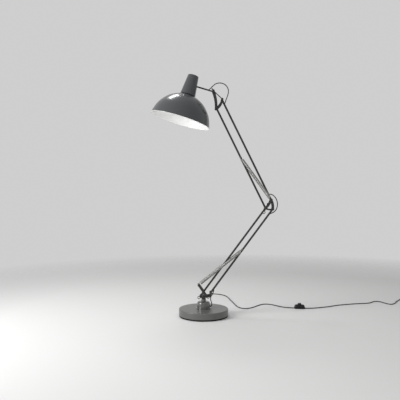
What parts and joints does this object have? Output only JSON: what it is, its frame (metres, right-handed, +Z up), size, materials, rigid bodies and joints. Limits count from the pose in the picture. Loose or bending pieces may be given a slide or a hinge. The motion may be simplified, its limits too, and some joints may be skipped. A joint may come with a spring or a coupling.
{
  "type": "articulated floor lamp",
  "caption": "Tall floor lamp with a weighted round base, spring-balanced parallelogram arms, a domed metal shade and a mains flex with a foot switch.",
  "frame": {"origin": "centre of the round base, on the floor", "axes": "+Z up; +X to the lamp's right, the side its elbow leans to; the arms lie in the XZ plane and +Y runs to the back, where the mains flex leaves"},
  "size_m": [1.8266, 0.8665, 1.4728],
  "materials": {
    "pad_black": "matt black foam rubber",
    "base_grey": "satin dark grey paint",
    "iron": "bare casting",
    "black_plastic": "moulded, slight sheen",
    "rubber_black": "matt",
    "flex_black": "smooth black sheath",
    "collar_grey": "gloss dark grey paint",
    "zinc": "zinc plated",
    "arm_grey": "satin charcoal paint",
    "spring_steel": "drawn steel wire",
    "shade_grey": "gloss grey enamel outside, white inside",
    "opal": "opal",
    "nickel": "nickel plated pins"
  },
  "bodies": {
    "base": {"base_pad": "pad_black", "base_cover": "base_grey", "base_ballast": "iron", "base_bush": "black_plastic", "base_cord_gland": "rubber_black", "base_inner_cord": "flex_black", "mains_cord": "flex_black", "foot_switch_base": "black_plastic", "foot_switch_cover": "black_plastic", "switch_cord": "flex_black", "cord_coil": "flex_black", "mains_plug": "black_plastic", "plug_pins": "nickel"},
    "foot_button": {"foot_switch_button": "black_plastic"},
    "swivel": {"collar": "collar_grey", "collar_grommet": "rubber_black", "stem": "arm_grey", "pivot_tube": "zinc", "pivot_washer": "zinc", "pivot_nut": "zinc", "stem_cable": "flex_black"},
    "foot_bracket": {"base_bracket_plates": "arm_grey", "base_bracket_pins": "arm_grey", "base_bracket_spacers": "arm_grey", "base_cable_loop": "flex_black"},
    "tilt_knob": {"tilt_wing_nut": "arm_grey"},
    "lower_right": {"lower_right_bar": "arm_grey", "lower_right_bar_ends": "arm_grey", "lower_bar_cable": "flex_black"},
    "lower_left": {"lower_left_bar": "arm_grey", "lower_left_bar_ends": "arm_grey"},
    "lower_spring": {"lower_spring_front": "spring_steel", "lower_spring_rear": "spring_steel"},
    "lower_spring_top": {"lower_spring_studs": "zinc"},
    "elbow": {"elbow_plates": "arm_grey", "elbow_pins": "arm_grey", "elbow_spacers": "arm_grey", "elbow_cable_loop": "flex_black"},
    "elbow_knob": {"elbow_wing_nut": "arm_grey"},
    "upper_right": {"upper_right_bar": "arm_grey", "upper_right_bar_ends": "arm_grey", "upper_bar_cable": "flex_black"},
    "upper_left": {"upper_left_bar": "arm_grey", "upper_left_bar_ends": "arm_grey"},
    "upper_spring": {"upper_spring_front": "spring_steel", "upper_spring_rear": "spring_steel"},
    "upper_spring_top": {"upper_spring_studs": "zinc"},
    "head_bracket": {"head_plates": "arm_grey", "head_tie": "arm_grey", "head_pins": "arm_grey", "head_spacers": "arm_grey", "head_cable_loop": "flex_black"},
    "head_knob": {"head_wing_nut": "arm_grey"},
    "head": {"head_stem": "arm_grey", "head_inner_cable": "flex_black", "lamp_cap": "shade_grey", "shade": "shade_grey", "lampholder": "black_plastic", "bulb": "opal"}
  },
  "joints": [
    {"name": "base_swivel", "type": "hinge", "parent": "base", "child": "swivel", "pos_m": [0, 0, 0.046], "axis": [0, 0, 1], "range_deg": [-175, 175]},
    {"name": "stem_tilt", "type": "hinge", "parent": "swivel", "child": "foot_bracket", "pos_m": [0, 0, 0.118], "axis": [0, 1, 0], "range_deg": [-20, 15], "deforming": ["base_cable_loop"]},
    {"name": "tilt_nut_turn", "type": "hinge", "parent": "foot_bracket", "child": "tilt_knob", "pos_m": [0, 0, 0.118], "axis": [0, 1, 0], "range_deg": [-19, 30]},
    {"name": "lower_arm", "type": "hinge", "parent": "foot_bracket", "child": "lower_right", "pos_m": [0.0433, 0, 0.1413], "axis": [0, 1, 0], "range_deg": [-35, 25], "deforming": ["base_cable_loop", "elbow_cable_loop"]},
    {"name": "lower_left_swing", "type": "hinge", "parent": "foot_bracket", "child": "lower_left", "pos_m": [0, 0, 0.1474], "axis": [0, 1, 0], "range_deg": [-35.5, 25.5]},
    {"name": "lower_spring_turn", "type": "hinge", "parent": "foot_bracket", "child": "lower_spring", "pos_m": [-0.0296, 0, 0.1894], "axis": [0, 1, 0], "range_deg": [-33.4, 24]},
    {"name": "lower_spring_stretch", "type": "slide", "parent": "lower_spring", "child": "lower_spring_top", "axis": [0.7821, 0, 0.6232], "range_m": [-0.0521, 0.0374], "deforming": ["lower_spring_front", "lower_spring_rear"]},
    {"name": "elbow_level", "type": "hinge", "parent": "lower_right", "child": "elbow", "pos_m": [0.42089, 0, 0.64972], "axis": [0, 1, 0], "range_deg": [-25.5, 35.5], "deforming": ["elbow_cable_loop"]},
    {"name": "elbow_nut_turn", "type": "hinge", "parent": "elbow", "child": "elbow_knob", "pos_m": [0.37759, 0, 0.65582], "axis": [0, 1, 0], "range_deg": [-180, 180]},
    {"name": "upper_arm", "type": "hinge", "parent": "elbow", "child": "upper_right", "pos_m": [0.41109, 0, 0.70822], "axis": [0, 1, 0], "range_deg": [-50, 20], "deforming": ["elbow_cable_loop", "head_cable_loop"]},
    {"name": "upper_left_swing", "type": "hinge", "parent": "elbow", "child": "upper_left", "pos_m": [0.37759, 0, 0.65582], "axis": [0, 1, 0], "range_deg": [-50.5, 20.5]},
    {"name": "upper_spring_turn", "type": "hinge", "parent": "elbow", "child": "upper_spring", "pos_m": [0.41109, 0, 0.70822], "axis": [0, 1, 0], "range_deg": [-51.5, 20.9]},
    {"name": "upper_spring_stretch", "type": "slide", "parent": "upper_spring", "child": "upper_spring_top", "axis": [-0.5855, 0, 0.8107], "range_m": [-0.021, 0.0517], "deforming": ["upper_spring_front", "upper_spring_rear"]},
    {"name": "head_level", "type": "hinge", "parent": "upper_right", "child": "head_bracket", "pos_m": [0.11281, 0, 1.31709], "axis": [0, 1, 0], "range_deg": [-20.5, 50.5], "deforming": ["head_cable_loop"]},
    {"name": "head_nut_turn", "type": "hinge", "parent": "head_bracket", "child": "head_knob", "pos_m": [0.0595, 0, 1.367], "axis": [0, 1, 0], "range_deg": [-180, 180]},
    {"name": "head_tilt", "type": "hinge", "parent": "head_bracket", "child": "head", "pos_m": [0.0595, 0, 1.367], "axis": [0, 1, 0], "range_deg": [-18, 50], "deforming": ["head_cable_loop"]},
    {"name": "button_press", "type": "slide", "parent": "base", "child": "foot_button", "axis": [0, 0, -1], "range_m": [0, 0.0035], "stiffness_N_per_m": 900}
  ],
  "couplings": [
    {"joint": "lower_left_swing", "follows": "lower_arm", "ratio": 1},
    {"joint": "elbow_level", "follows": "lower_arm", "ratio": -1},
    {"joint": "lower_spring_turn", "follows": "lower_arm", "ratio": 0.94},
    {"joint": "lower_spring_stretch", "follows": "lower_arm", "m_per_rad": 0.0845},
    {"joint": "upper_left_swing", "follows": "upper_arm", "ratio": 1},
    {"joint": "head_level", "follows": "upper_arm", "ratio": -1},
    {"joint": "upper_spring_turn", "follows": "upper_arm", "ratio": 1.02},
    {"joint": "upper_spring_stretch", "follows": "upper_arm", "m_per_rad": -0.0587}
  ]
}
